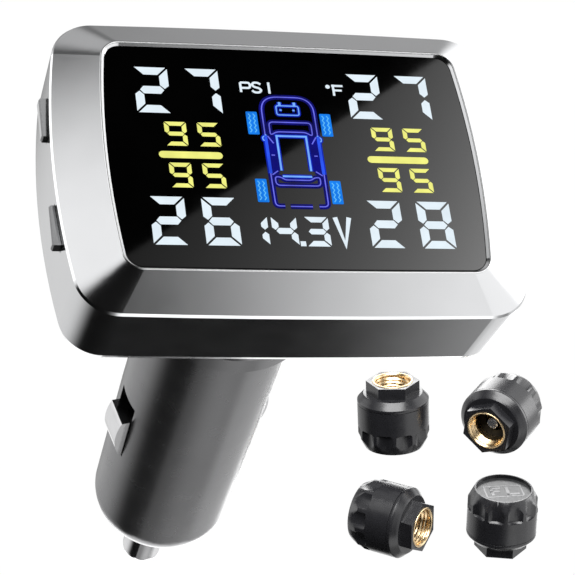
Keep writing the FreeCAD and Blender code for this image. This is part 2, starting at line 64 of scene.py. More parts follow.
RECLINE = math.radians(27.5)
HINGE_TO_SCREEN = (-3.0, 27.2)        # up the screen, and out of it
INK_HEIGHT = 0.03
GLOW_HEIGHT = 0.015

# left, bottom, text, digit width, digit height, stroke, pitch, material
DIGITS = (
    (-19.45, 6.1, "27", 4.4, 6.78, 1.12, 6.53, "lit_white"),
    (8.27, 6.1, "27", 4.4, 6.78, 1.12, 6.53, "lit_white"),
    (-19.35, -12.87, "26", 4.4, 6.8, 1.12, 6.55, "lit_white"),
    (8.27, -12.87, "28", 4.4, 6.8, 1.12, 6.55, "lit_white"),
    (-16.3, 1.32, "95", 2.8, 3.5, 0.58, 4.2, "lit_yellow"),
    (-16.3, -4.72, "95", 2.8, 3.55, 0.58, 4.2, "lit_yellow"),
    (10.6, 1.32, "95", 2.8, 3.5, 0.58, 4.2, "lit_yellow"),
    (10.6, -4.75, "95", 2.8, 3.55, 0.58, 4.2, "lit_yellow"),
    (-7.9, -12.75, "1", 3.1, 4.15, 0.85, 0.0, "lit_white"),
    (-4.3, -12.75, "4", 3.2, 4.15, 0.85, 0.0, "lit_white"),
    (-0.15, -12.8, "3", 3.15, 4.2, 0.78, 0.0, "lit_white"),
)
SEGMENTS_ON = {
    "1": "bc", "2": "abged", "3": "abgcd", "4": "fgbc", "5": "afgcd",
    "6": "afgedc", "7": "abc", "8": "abcdefg", "9": "abfgcd",
}
YELLOW_BARS = ((-17.4, -9.3, 0.0), (9.5, 17.6, 0.02))
YELLOW_BAR_T = 1.0
SEGMENT_GAP = 0.17                    # between segments, as a share of the stroke
LETTER_LINE = 0.31
VOLT_LINE = 0.62

# drawing of the car: line widths, the glow's extra width, and how far each layer is lifted
FINE = 0.16
BOLD = 0.26
SIDE_LINE = 0.40
POLE_LINE = 0.34
SIGN_LINE = 0.22
GLOW = {"lit_blue_glow": 0.55, "lit_blue_halo": 0.34}
GLOW_STEP = 0.0002
DOOR_LIFT = 0.008
INK_STEP = 0.003
TREAD_LIFT = 0.004

# lower left corners of the tyres, their size, and the zigzag on them
TYRES = ((-5.58, 3.3), (4.05, 3.27), (-5.6, -6.6), (3.97, -6.68))
TYRE_SIZE = (1.45, 3.38)
TREAD_LANES = (0.42, 1.02)
TREAD_POINTS = 9
TREAD_SWING = 0.12
TREAD_MARGIN = 0.3
TREAD_LINE = 0.13

# ---- sensors ----------------------------------------------------------------

SENSOR_SPIN = {"1": 31.3, "2": 37.4, "3": 21.8, "4": 38.5}
WHEEL_LABEL = {"1": "FR", "2": "RL", "3": "RR", "4": "FL"}
LABEL_UP = {"1": 20.0, "2": 110.0, "3": -40.0, "4": 135.1}
MOUTH_ABOVE_BORE = 1.7                # millimetres along the thread from the middle of its bore
LABEL_FACE = -13.6
LABEL_INK = 0.02


# ---- objects and placing ----------------------------------------------------

def new_mesh(name, bm, smooth=False):
    """Mesh from a finished bmesh, which is freed."""
    mesh = bpy.data.meshes.new(name)
    bm.to_mesh(mesh)
    bm.free()
    for polygon in mesh.polygons:
        polygon.use_smooth = smooth
    return mesh


def new_object(name, data, place=None):
    """Object in the scene, at a matrix if one is given."""
    made = bpy.data.objects.new(name, data)
    bpy.context.scene.collection.objects.link(made)
    if place is not None:
        made.matrix_world = place
    return made


def ring_mesh(name, bm, rows):
    """Smooth skin over rows of vertices that close on themselves both ways."""
    for k, row in enumerate(rows):
        other = rows[(k + 1) % len(rows)]
        for i in range(len(row)):
            j = (i + 1) % len(row)
            bm.faces.new([row[i], other[i], other[j], row[j]])
    bmesh.ops.recalc_face_normals(bm, faces=bm.faces)
    return new_mesh(name, bm, smooth=True)


def record_item(kind, name):
    for item in RECORD[kind]:
        if item["name"] == name:
            return item
    raise KeyError(name)


def display_frame():
    """Matrix from the screen's own axes (across, up, out) in metres to the row frame."""
    hinge = next(j for j in frame["joints"] if j["name"] == "display_tilt")
    up = Vector((0, math.sin(RECLINE), math.cos(RECLINE)))
    out = Vector((0, -math.cos(RECLINE), math.sin(RECLINE)))
    centre = Vector(hinge["pos_m"]) + (up * HINGE_TO_SCREEN[0] + out * HINGE_TO_SCREEN[1]) * MM
    axes = Matrix((Vector((1, 0, 0)), up, out)).transposed().to_4x4()
    return Matrix.Translation(centre) @ axes


def sensor_frame(number):
    """Matrix from a sensor's own axes, with the thread's mouth at the origin, to the row frame."""
    mount = record_item("mounts", "valve_" + number)
    axis = Vector(mount["axis"]).normalized()
    mouth = Vector(mount["pos_m"]) + axis * MOUTH_ABOVE_BORE * MM
    azimuth = math.atan2(axis.y, axis.x)
    lean = math.acos(axis.z)
    spin = math.radians(SENSOR_SPIN[number])
    turn = Matrix.Rotation(azimuth, 4, "Z") @ Matrix.Rotation(lean, 4, "Y")
    return Matrix.Translation(mouth) @ turn @ Matrix.Rotation(spin, 4, "Z")


# ---- materials --------------------------------------------------------------

NOISE_RANGE = (0.3, 0.7)              # where most noise values lie
UNLIT_SHARE = 0.05                    # colour of a lit part without its light, as a share of it


def new_material(name):
    """Material with its node tree and its shader."""
    material = bpy.data.materials.new(name)
    material.use_nodes = True
    return material, material.node_tree, material.node_tree.nodes["Principled BSDF"]


def node(tree, kind, inputs=None, **settings):
    """Adds a shader node. An input given a socket is linked; any other value is set."""
    made = tree.nodes.new("ShaderNode" + kind)
    for name, value in settings.items():
        setattr(made, name, value)
    for name, value in (inputs or {}).items():
        if isinstance(value, bpy.types.NodeSocket):
            tree.links.new(value, made.inputs[name])
        else:
            made.inputs[name].default_value = value
    return made


def combine(tree, operation, first, second):
    """Output of a math node with two inputs."""
    return node(tree, "Math", {0: first, 1: second}, operation=operation).outputs[0]


def noise(tree, size, detail=3.0, stretch=(1, 1, 1)):
    """Noise whose blobs are about size millimetres across, fixed to the object."""
    place = node(tree, "TexCoord").outputs["Object"]
    if stretch != (1, 1, 1):
        place = node(tree, "Mapping", {"Vector": place, "Scale": stretch}).outputs[0]
    made = node(tree, "TexNoise", {"Vector": place, "Scale": 1 / (size * MM), "Detail": detail})
    return made.outputs[0]


def spread(tree, value, low, high):
    """Maps noise, which stays near the middle of 0 to 1, onto low to high."""
    return node(tree, "MapRange", {
        "Value": value, "From Min": NOISE_RANGE[0], "From Max": NOISE_RANGE[1],
        "To Min": low, "To Max": high,
    }).outputs[0]


def tinted(tree, colour, amount, size, stretch=(1, 1, 1)):
    """The colour, varied by amount in soft patches."""
    factor = spread(tree, noise(tree, size, 2.0, stretch), 0.0, 1.0)
    dark = [c * (1 - amount) for c in colour] + [1.0]
    light = [min(1.0, c * (1 + amount)) for c in colour] + [1.0]
    mix = node(tree, "Mix", {0: factor, 6: dark, 7: light}, data_type="RGBA")
    return mix.outputs[2]


def bumps(tree, size, depth, stretch=(1, 1, 1)):
    """Normal for a fine surface grain: size and depth in millimetres."""
    grain = noise(tree, size, 2.0, stretch)
    made = node(tree, "Bump", {"Height": grain, "Distance": depth * MM, "Strength": 1.0})
    return made.outputs[0]


def finish(name, colour, rough, tint=0.06, patch=6.0, rough_spread=0.04, grain=0.25,
           depth=0.004, stretch=(1, 1, 1), **constants):
    """A moulded, plated or turned finish with patchy colour, uneven gloss and fine grain."""
    material, tree, shader = new_material(name)
    tree.links.new(tinted(tree, colour, tint, patch, stretch), shader.inputs["Base Color"])
    blotches = noise(tree, patch * 0.4, 3.0, stretch)
    gloss = spread(tree, blotches, rough - rough_spread, rough + rough_spread)
    tree.links.new(gloss, shader.inputs["Roughness"])
    tree.links.new(bumps(tree, grain, depth, stretch), shader.inputs["Normal"])
    for socket, value in constants.items():
        shader.inputs[socket.replace("_", " ")].default_value = value
    return material


def lit(name, colour, strength, uneven):
    """A lit part of the display, with the slight unevenness of a backlight."""
    material, tree, shader = new_material(name)
    shader.inputs["Base Color"].default_value = [c * UNLIT_SHARE for c in colour] + [1.0]
    shader.inputs["Roughness"].default_value = 0.6
    shader.inputs["Specular IOR Level"].default_value = 0.15
    shader.inputs["Emission Strength"].default_value = strength
    tree.links.new(tinted(tree, colour, uneven, 3.0), shader.inputs["Emission Color"])
    return material


FINISHES = {
    "silver_case": finish("silver_case", (0.70, 0.705, 0.715), 0.15, 0.015, 9.0, 0.012,
                          0.08, 0.0003, Metallic=1.0),
    "screen_glass": finish("screen_glass", (0.001, 0.001, 0.001), 0.035, 0.3, 8.0, 0.01,
                           4.0, 0.0003, Specular_IOR_Level=0.5),
    # lighter copy of the case's silver: painted highlight for the line round the screen
    "silver_edge_highlight": finish("silver_edge_highlight", (0.92, 0.925, 0.93), 0.2, 0.015, 9.0, 0.012, 0.08, 0.0003,
                          Metallic=1.0),
    "display_black": finish("display_black", (0.01, 0.01, 0.012), 0.2),
    "white_diffuser": finish("white_diffuser", (0.85, 0.86, 0.88), 0.35),
    "white_moulding": finish("white_moulding", (0.78, 0.78, 0.77), 0.45),
    "circuit_green": finish("circuit_green", (0.02, 0.15, 0.06), 0.35, 0.5, 1.2, 0.08),
    "chip_black": finish("chip_black", (0.022, 0.022, 0.024), 0.5),
    "copper_wire": finish("copper_wire", (0.78, 0.42, 0.24), 0.28, Metallic=1.0),
    "dark_satin_plastic": finish("dark_satin_plastic", (0.24, 0.24, 0.245), 0.26, 0.03, 8.0, 0.02,
                                 0.3, 0.0006, Metallic=0.9),
    "black_steel": finish("black_steel", (0.05, 0.05, 0.052), 0.35, Metallic=1.0),
    "bright_steel": finish("bright_steel", (0.82, 0.82, 0.83), 0.12, 0.03, 2.0, 0.03, 0.3, 0.0008,
                           Metallic=1.0),
    "spring_steel": finish("spring_steel", (0.55, 0.55, 0.57), 0.25, Metallic=1.0),
    "nylon": finish("nylon", (0.75, 0.74, 0.70), 0.4),
    "fuse_glass": finish("fuse_glass", (0.75, 0.78, 0.78), 0.08, Transmission_Weight=0.6),
    "sensor_black": finish("sensor_black", (0.014, 0.014, 0.016), 0.27, 0.12, 3.0, 0.03,
                           0.3, 0.0008, Specular_IOR_Level=0.6),
    "brass_thread": finish("brass_thread", (0.80, 0.61, 0.36), 0.27, 0.08, 0.8, 0.04, 0.3, 0.0008,
                           Metallic=1.0),
    "seal_rubber": finish("seal_rubber", (0.012, 0.012, 0.012), 0.6),
    "cell_steel": finish("cell_steel", (0.62, 0.62, 0.63), 0.28, Metallic=1.0),
    "label_grey": finish("label_grey", (0.06, 0.061, 0.063), 0.30, 0.10, 1.5, 0.03, 0.08, 0.001),
    "label_print": finish("label_print", (0.30, 0.30, 0.305), 0.4),
}
LIT = {
    "lit_white": lit("lit_white", (0.76, 0.86, 0.93), 1.0, 0.05),
    "lit_yellow": lit("lit_yellow", (0.86, 0.86, 0.22), 1.0, 0.10),
    "lit_blue_line": lit("lit_blue_line", (0.14, 0.15, 0.80), 1.0, 0.25),
    "lit_blue_side": lit("lit_blue_side", (0.02, 0.08, 0.80), 1.0, 0.30),
    "lit_blue_bright": lit("lit_blue_bright", (0.16, 0.38, 0.98), 1.1, 0.15),
    "lit_blue_fill": lit("lit_blue_fill", (0.0, 0.0, 0.18), 1.0, 0.35),
    "lit_blue_glow": lit("lit_blue_glow", (0.0, 0.0, 0.14), 1.0, 0.4),
    "lit_blue_halo": lit("lit_blue_halo", (0.0, 0.015, 0.42), 1.0, 0.3),
    "lit_tyre": lit("lit_tyre", (0.004, 0.20, 0.86), 1.0, 0.25),
    "lit_tread": lit("lit_tread", (0.12, 0.52, 1.0), 1.0, 0.10),
}


def dress_frame():
    """Gives every CAD node the finish of its material slot."""
    for part in RECORD["subparts"]:
        piece = NODES[part["node"]]
        for slot in piece.material_slots:
            slot.material = FINISHES[part["material_slot"]]


# ---- flat graphics ----------------------------------------------------------

def digit_shapes(width, height, stroke):
    """Outlines of the seven segments of one digit, from its lower left corner."""
    gap = stroke * SEGMENT_GAP
    mid = height / 2
    half = stroke / 2
    right, left = width, 0.0
    inner = width - stroke
    shapes = {
        "a": [(gap, height), (width - gap, height), (inner - gap, height - stroke),
              (stroke + gap, height - stroke)],
        "g": [(half + gap / 2, mid), (stroke, mid + half), (inner, mid + half),
              (width - half - gap / 2, mid), (inner, mid - half), (stroke, mid - half)],
        "b": [(right, height - gap), (right, mid + half + gap / 2), (right - half, mid + gap),
              (inner, mid + half + gap), (inner, height - stroke - gap)],
        "f": [(left, height - gap), (stroke, height - stroke - gap),
              (stroke, mid + half + gap), (half, mid + gap), (left, mid + half + gap / 2)],
    }
    flips = {"d": "a", "c": "b", "e": "f"}
    for name, source in flips.items():
        shapes[name] = [(x, height - y) for x, y in reversed(shapes[source])]
    return shapes


def arc(centre, radius, start, end, steps=6):
    """Points along a circle, from one angle in degrees to another."""
    points = []
    for i in range(steps + 1):
        angle = math.radians(start + (end - start) * i / steps)
        points.append((centre[0] + radius * math.cos(angle), centre[1] + radius * math.sin(angle)))
    return points


def rounded(points, radius, closed=True, steps=5):
    """The polyline with its corners rounded off."""
    count = len(points)
    made = []
    for i, here in enumerate(points):
        if not closed and i in (0, count - 1):
            made.append(here)
            continue
        corner = Vector(here)
        before = Vector(points[i - 1]) - corner
        after = Vector(points[(i + 1) % count]) - corner
        reach = min(radius, before.length * 0.49, after.length * 0.49)
        first = corner + before.normalized() * reach
        last = corner + after.normalized() * reach
        for k in range(steps + 1):
            t = k / steps
            spot = first * (1 - t) ** 2 + corner * 2 * t * (1 - t) + last * t ** 2
            made.append(tuple(spot))
    return made


def ribbon(points, width, closed=False):
    """Quads of even width along a polyline."""
    count = len(points)
    sides = []
    for i, here in enumerate(points):
        spot = Vector(here)
        before = Vector(points[i - 1]) if closed or i else None
        after = Vector(points[(i + 1) % count]) if closed or i < count - 1 else None
        runs = []
        if before is not None:
            runs.append((spot - before).normalized())
        if after is not None:
            runs.append((after - spot).normalized())
        normals = [Vector((-r.y, r.x)) for r in runs]
        bisector = sum(normals, Vector((0, 0)))
        bisector.normalize()
        reach = width / 2 / max(0.5, bisector.dot(normals[0]))
        sides.append((tuple(spot + bisector * reach), tuple(spot - bisector * reach)))
    quads = []
    for i in range(count if closed else count - 1):
        a, b = sides[i], sides[(i + 1) % count]
        quads.append([a[1], b[1], b[0], a[0]])
    return quads


def graphic(name, faces, place, height, material, body):
    """Flat printed or lit shapes, given in millimetres on a plane, just proud of the surface."""
    bm = bmesh.new()
    for face in faces:
        bm.faces.new([bm.verts.new((x * MM, y * MM, height * MM)) for x, y in face])
    bmesh.ops.remove_doubles(bm, verts=bm.verts, dist=1e-7)
    bmesh.ops.recalc_face_normals(bm, faces=bm.faces)
    for face in bm.faces:
        if face.normal.z < 0:
            face.normal_flip()
    piece = new_object(name, new_mesh(name, bm), place)
    piece.data.materials.append(material)
    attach(piece, body)
    return piece


def shifted(faces, x, y):
    """The same faces, moved."""
    return [[(px + x, py + y) for px, py in face] for face in faces]


def digit_faces():
    """Lit segments and the two yellow bars, by material."""
    made = {"lit_white": [], "lit_yellow": []}
    for left, bottom, text, width, height, stroke, pitch, ink in DIGITS:
        shapes = digit_shapes(width, height, stroke)
        for place, digit in enumerate(text):
            lit_up = [shapes[s] for s in SEGMENTS_ON[digit]]
            made[ink] += shifted(lit_up, left + place * pitch, bottom)
    for left, right, middle in YELLOW_BARS:
        end = YELLOW_BAR_T / 2
        made["lit_yellow"].append(
            arc((right - end, middle), end, -90, 90) + arc((left + end, middle), end, 90, 270))
    return made


def lettering_faces():
    """Unit marks and the decimal point."""
    letter_p = [(-5.75, 11.05), (-4.5, 11.05), (-4.5, 10.25), (-5.75, 10.25)]
    letter_s = [(-3.1, 10.85), (-3.45, 11.1), (-4.0, 11.1), (-4.25, 10.75), (-3.95, 10.42),
                (-3.4, 10.3), (-3.05, 10.0), (-3.35, 9.62), (-3.95, 9.6), (-4.3, 9.9)]
    faces = []
    faces += ribbon([(-5.75, 9.6), (-5.75, 11.05)], LETTER_LINE)
    faces += ribbon(rounded(letter_p, 0.35, False), LETTER_LINE)
    faces += ribbon(rounded(letter_s, 0.2, False, 3), LETTER_LINE)
    faces += ribbon([(-2.05, 9.5), (-2.05, 11.2)], LETTER_LINE)
    faces.append(arc((5.78, 10.85), 0.3, 0, 340, 16))
    for stroke in ([(6.5, 9.5), (6.5, 11.2)], [(6.3, 11.02), (7.8, 11.02)],
                   [(6.5, 10.33), (7.6, 10.33)]):
        faces += ribbon(stroke, LETTER_LINE)
    faces.append([(-0.95, -12.8), (-0.25, -12.8), (-0.25, -12.1), (-0.95, -12.1)])
    faces += ribbon([(3.95, -8.6), (4.83, -12.55), (5.75, -8.6)], VOLT_LINE)
    return faces


def mirrored(points):
    """The path, with its mirror image after it. Paths run from the left side of the car."""
    return [points, [(-x, y) for x, y in points]]


def car_paths():
    """Plan view of a car as (points, width, closed, material)."""
    paths = []
    nose = rounded([(-3.45, 3.2), (-3.45, 9.0), (3.4, 9.0), (3.4, 3.2)], 2.3, False, 9)
    paths.append((nose, FINE, False, "lit_blue_line"))
    tail = rounded([(-3.45, -2.4), (-3.4, -7.1), (-2.2, -7.1)], 1.4, False)
    paths += [(p, FINE, False, "lit_blue_line") for p in mirrored(tail)]
    paths.append(([(-1.5, -7.13), (1.35, -7.13)], FINE, False, "lit_blue_line"))
    screen = rounded([(-2.75, 5.22), (2.75, 5.22), (2.75, 3.2), (1.95, 3.78), (-1.95, 3.78),
                      (-2.75, 3.2)], 0.55)
    paths.append((screen, FINE, True, "lit_blue_line"))
    roof = [(-2.0, -1.95), (-2.0, 3.15), (1.85, 3.15), (1.85, -1.95)]
    paths.append((roof, BOLD, False, "lit_blue_bright"))
    window = rounded([(-2.95, -2.85), (-2.2, -2.9), (-1.7, -3.3), (1.65, -3.3), (2.15, -2.9),
                      (2.85, -2.85), (2.85, -4.1), (-2.95, -4.1)], 0.6)
    paths.append((window, FINE, True, "lit_blue_line"))
    paths.append(([(-1.95, -2.78), (1.85, -2.78)], BOLD, False, "lit_blue_bright"))
    side = [(-3.42, 3.2), (-3.42, -2.4)]
    paths += [(p, SIDE_LINE, False, "lit_blue_side") for p in mirrored(side)]
    for pillar in ([(-3.15, 3.1), (-2.5, 2.05)], [(-3.25, -2.6), (-2.45, -2.0)],
                   [(-3.0, 0.3), (-2.55, 0.3)]):
        paths += [(p, FINE, False, "lit_blue_line") for p in mirrored(pillar)]
    mirror = rounded([(-3.3, 3.3), (-3.85, 2.9), (-3.75, 2.4), (-3.3, 2.6)], 0.2, False)
    paths += [(p, FINE, False, "lit_blue_bright") for p in mirrored(mirror)]
    cell = rounded([(-1.5, 7.7), (-1.5, 6.32), (1.42, 6.32), (1.42, 7.7)], 0.3)
    paths.append((cell, FINE, True, "lit_blue_bright"))
    for x in (-1.0, 0.93):
        paths.append(([(x, 7.75), (x, 8.25)], POLE_LINE, False, "lit_blue_bright"))
    for x in (-0.95, 0.75):
        paths.append(([(x - 0.15, 7.05), (x + 0.15, 7.05)], SIGN_LINE, False, "lit_blue_bright"))
    return paths


def car_faces():
    """Lines of the car by material, and the wider bands of glow that go under them."""
    made, glows = {}, []
    for points, width, closed, ink in car_paths():
        made.setdefault(ink, []).extend(ribbon(points, width, closed))
        glow = "lit_blue_glow" if ink == "lit_blue_line" else "lit_blue_halo"
        glows.append((ribbon(points, width + GLOW[glow], closed), glow))
    return made, glows


def tyre_faces():
    """Tyre blocks and the zigzag tread on them."""
    blocks, tread = [], []
    width, height = TYRE_SIZE
    for left, bottom in TYRES:
        right, top = left + width, bottom + height
        corners = [(left, bottom), (right, bottom), (right, top), (left, top)]
        blocks.append(rounded(corners, 0.15, True, 3))
        for lane in TREAD_LANES:
            line = []
            for k in range(TREAD_POINTS):
                rise = (height - 2 * TREAD_MARGIN) * k / (TREAD_POINTS - 1)
                swing = TREAD_SWING if k % 2 else -TREAD_SWING
                line.append((left + lane + swing, bottom + TREAD_MARGIN + rise))
            tread += ribbon(line, TREAD_LINE)
    return blocks, tread


def build_graphics(place):
    """Everything that is lit on the screen, in thin layers just over the glass."""
    for ink, faces in digit_faces().items():
        name = ink.replace("lit", "digits")
        piece = graphic(name, faces, place, INK_HEIGHT, LIT[ink], "display")
    graphic("unit_marks", lettering_faces(), place, INK_HEIGHT, LIT["lit_white"], "display")
    made, glows = car_faces()
    for layer, (faces, ink) in enumerate(glows):
        height = GLOW_HEIGHT + layer * GLOW_STEP
        graphic(f"car_glow_{layer}", faces, place, height, LIT[ink], "display")
    for layer, (ink, faces) in enumerate(made.items()):
        height = INK_HEIGHT + layer * INK_STEP
        graphic(ink.replace("lit", "car"), faces, place, height, LIT[ink], "display")
    left_door = [(-3.4, 3.1), (-3.4, -2.35), (-2.15, -2.0), (-2.15, 3.1)]
    for name, door in zip(("car_door_left", "car_door_right"), mirrored(left_door)):
        graphic(name, [door], place, GLOW_HEIGHT + DOOR_LIFT, LIT["lit_blue_fill"], "display")
    blocks, tread = tyre_faces()
    graphic("car_tyres", blocks, place, INK_HEIGHT, LIT["lit_tyre"], "display")
    graphic("car_tread", tread, place, INK_HEIGHT + TREAD_LIFT, LIT["lit_tread"], "display")


# ---- polished edge, whose lighter silver paints part of its highlight -------

RIDGE_HEIGHT = 0.3                    # of the case's crest round the glass, over the glass
RIDGE_TOLERANCE = 0.01
BEAD_RADIUS = 0.13
BEAD_SIDES = 10


def ridge_points(place):
    """The case's crest round the glass, in order, in metres on the screen's axes."""
    shell = NODES["front_shell"]
    to_screen = place.inverted() @ shell.matrix_world
    found = {}
    for vert in shell.data.vertices:
        spot = to_screen @ vert.co
        if abs(spot.z / MM - RIDGE_HEIGHT) < RIDGE_TOLERANCE:
            found[tuple(round(axis, 6) for axis in spot.xy)] = spot
    return sorted(found.values(), key=lambda spot: math.atan2(spot.y, spot.x))


def build_bead(place):
    """Polished round edge along the crest, which carries the bright line round the screen. Its silver is lighter
    than the case's, a painted highlight on top of the light it reflects.
    """
    points = ridge_points(place)
    count = len(points)
    bm = bmesh.new()
    rings = []
    for i, spot in enumerate(points):
        along = (points[(i + 1) % count] - points[i - 1]).normalized()
        outward = Vector((along.y, -along.x, 0))
        ring = []
        for k in range(BEAD_SIDES):
            angle = 2 * math.pi * k / BEAD_SIDES
            offset = outward * math.cos(angle) + Vector((0, 0, math.sin(angle)))
            ring.append(bm.verts.new(spot + offset * BEAD_RADIUS * MM))
        rings.append(ring)
    piece = new_object("screen_bead", ring_mesh("screen_bead", bm, rings), place)
    piece.data.materials.append(FINISHES["silver_edge_highlight"])
    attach(piece, "display")


# ---- sensor pieces ----------------------------------------------------------

LETTER_STROKES = {
    "F": ([(0, 0), (0, 1)], [(0, 1), (1, 1)], [(0, 0.5), (0.8, 0.5)]),
    "L": ([(0, 1), (0, 0)], [(0, 0), (1, 0)]),
    "R": ([(0, 0), (0, 1)], [(0, 1), (0.75, 1), (1, 0.85), (1, 0.6), (0.75, 0.47), (0, 0.47)],
          [(0.5, 0.47), (1, 0)]),
}
FRAME_SIZE = (8.26, 4.75)
FRAME_LINE = 0.35
FRAME_CORNER = 0.25
LETTER_H = 3.2
LETTER_PEN = 0.63
LETTER_BOX = ((-2.55, 1.75), (0.85, 2.0))     # left edge and width of each letter


def label_faces(text):
    """Thin frame and two wheel-position letters, right-reading from outside."""
    x, y = [(side - FRAME_LINE) / 2 for side in FRAME_SIZE]
    corners = [(-x, -y), (x, -y), (x, y), (-x, y)]
    faces = ribbon(rounded(corners, FRAME_CORNER, True, 3), FRAME_LINE, True)
    height = LETTER_H - LETTER_PEN
    for letter, (left, width) in zip(text, LETTER_BOX):
        for stroke in LETTER_STROKES[letter]:
            points = [(left + px * width, (py - 0.5) * height) for px, py in stroke]
            start, end = Vector(points[0]), Vector(points[-1])
            reach = (end - start).normalized() * LETTER_PEN / 2
            if len(points) == 2:
                points = [tuple(start - reach), tuple(end + reach)]
            faces += ribbon(points, LETTER_PEN)
    return faces


def build_label(number, place):
    """The label's face looks along the sensor's -Z, so its plane is turned over."""
    up = math.radians(LABEL_UP[number])
    flip = Matrix.Rotation(up - math.pi / 2, 4, "Z") @ Matrix.Rotation(math.pi, 4, "Y")
    seat = place @ Matrix.Translation((0, 0, LABEL_FACE * MM)) @ flip
    faces = label_faces(WHEEL_LABEL[number])
    ink = FINISHES["label_print"]
    return graphic(f"label_print_{number}", faces, seat, LABEL_INK, ink, "cap_" + number)


# brass insert, millimetres: radius and height of the profile below and above its thread
INSERT_FOOT = ((2.2, -6.4), (2.2, -5.4), (3.85, -5.4), (3.85, -3.3))
INSERT_RIM = ((3.86, 0.06), (3.9, 0.1), (4.17, 0.1), (4.23, 0.04), (4.23, -6.4))
THREAD_RADIUS = 3.55
THREAD_PITCH = 0.794
THREAD_DEPTH = 0.36
THREAD_SPAN = (-3.1, -0.28)
THREAD_ROUNDING = 0.8                 # under 1 makes the grooves wider than the crests
STEPS_PER_PITCH = 12
RUN_OUT = 3.0                         # the groove grows to full depth in a third of the span
MOUTH_GROOVE = 0.35                   # share of its depth that is left at the mouth
AROUND = 72
SMOOTH_UNDER = math.radians(50)


def insert_rings():
    """Profile from the foot up the bore and down the outside: (radius, height, threaded)."""
    low, high = THREAD_SPAN
    steps = int((high - low) / THREAD_PITCH * STEPS_PER_PITCH)
    rings = [(radius, z, 0) for radius, z in INSERT_FOOT]
    for k in range(steps + 1):
        z = low + (high - low) * k / steps
        fade = min(1.0, RUN_OUT * k / steps, RUN_OUT * (steps - k) / steps + MOUTH_GROOVE)
        rings.append((THREAD_RADIUS, z, fade))
    return rings + [(radius, z, 0) for radius, z in INSERT_RIM]


def build_insert(number, place):
    """Brass insert with its real helical thread, in place of the plain bore."""
    bm = bmesh.new()
    rows = []
    for radius, z, threaded in insert_rings():
        row = []
        for i in range(AROUND):
            angle = 2 * math.pi * i / AROUND
            phase = (z / THREAD_PITCH - i / AROUND) % 1.0
            groove = THREAD_DEPTH * threaded * (1 - abs(2 * phase - 1)) ** THREAD_ROUNDING
            r = (radius + groove) * MM
            row.append(bm.verts.new((r * math.cos(angle), r * math.sin(angle), z * MM)))
        rows.append(row)
    mesh = ring_mesh(f"thread_{number}", bm, rows)
    mesh.set_sharp_from_angle(angle=SMOOTH_UNDER)
    mesh.materials.append(FINISHES["brass_thread"])
    piece = new_object(f"thread_{number}", mesh, place)
    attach(piece, "sensor_" + number)
    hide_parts(f"sensor_{number}_insert")
    return piece


# ---- spring -----------------------------------------------------------------


def build_spring():
    """The centre contact's spring, copied as a piece of the plug with a mesh of its own."""
    coil = NODES["tip_spring"]
    piece = new_object("contact_spring", coil.data.copy(), coil.matrix_world)
    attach(piece, "plug")
    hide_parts("tip_spring")
    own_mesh(piece)


# ---- edges ------------------------------------------------------------------

EDGE_BREAKS = {"base": 0.14, "cap": 0.12}
EDGE_ANGLE = math.radians(28.0)
WELD_WITHIN = 1e-6
FLAT_FACE_WEIGHT = 60


def break_edges(piece, width):
    """Rounds the sharp edges of a CAD node so that they catch the light."""
    weld = piece.modifiers.new("weld", "WELD")
    weld.merge_threshold = WELD_WITHIN
    bevel = piece.modifiers.new("edge", "BEVEL")
    bevel.width = width * MM
    bevel.segments = 2
    bevel.limit_method = "ANGLE"
    bevel.angle_limit = EDGE_ANGLE
    bevel.harden_normals = False
    shade = piece.modifiers.new("shade", "WEIGHTED_NORMAL")
    shade.keep_sharp = False
    shade.weight = FLAT_FACE_WEIGHT


# ---- studio -----------------------------------------------------------------

# direction the light comes from, radiance, half-angle of full strength, half-angle where it ends
SKY = (
    ((0.811, -0.568, -0.148), 1.22, 31, 44),   # large box to the right, lights the lower bezel
    ((0.85, 0.10, 0.52), 1.5, 25, 40),         # high right, lights the right bezel
    ((0.40, 0.58, 0.71), 0.44, 2, 22),         # overhead and behind, lights the top bezel
    ((-0.61, -0.48, 0.63), 1.20, 1, 26),       # high left, lights the left bezel
    ((-0.20, 0.24, 0.95), 0.52, 6, 30),        # overhead, joins the two round the corner
    ((-0.82, 0.45, 0.35), 1.6, 10, 28),        # left, catches the case's left rim
    ((-0.50, 0.86, 0.00), 0.80, 12, 42),       # behind left, lights the left wall
    ((0.80, 0.50, -0.33), 0.85, 25, 38),       # low right, lights the plug
    ((0.20, 0.93, -0.30), 1.3, 8, 22),         # behind and low, lights the plug's nose
    ((0.30, -0.10, -0.95), 0.55, 10, 38),      # from the floor
    ((0.28, -0.42, -0.87), 1.2, 8, 20),        # from the floor in front, catches the lower rim
    ((0.45, 0.89, 0.05), 1.8, 8, 20),          # behind right, outlines the plug
    ((0.28, -0.85, 0.44), 2.5, 6, 15),         # over the camera, draws the line round the screen
)
SKY_BASE = 0.006
BACKDROP_RADIUS = 9.0
FLOOR_RADIUS = 2.9
FLOOR_AT = (0.05, 0.05, -0.30)
FLOOR_GLOW = 0.45                     # keeps the floor as pale as the surround


def build_world():
    """Soft boxes round the object as smooth lobes of the sky; the ground side stays dark."""
    world = bpy.data.worlds.new("studio")
    bpy.context.scene.world = world
    world.use_nodes = True
    tree = world.node_tree
    facing = node(tree, "TexCoord").outputs["Generated"]
    total = None
    for direction, radiance, full, end in SKY:
        centre = Vector(direction).normalized()
        toward = node(tree, "VectorMath", {0: facing, 1: centre}, operation="DOT_PRODUCT")
        lobe = node(tree, "MapRange", {
            "Value": toward.outputs["Value"], "From Min": math.cos(math.radians(end)),
            "From Max": math.cos(math.radians(full)), "To Min": 0.0, "To Max": radiance,
        }, interpolation_type="SMOOTHSTEP").outputs[0]
        total = combine(tree, "ADD", lobe, SKY_BASE if total is None else total)
    background = tree.nodes["Background"]
    background.inputs["Color"].default_value = (1, 1, 1, 1)
    tree.links.new(total, background.inputs["Strength"])


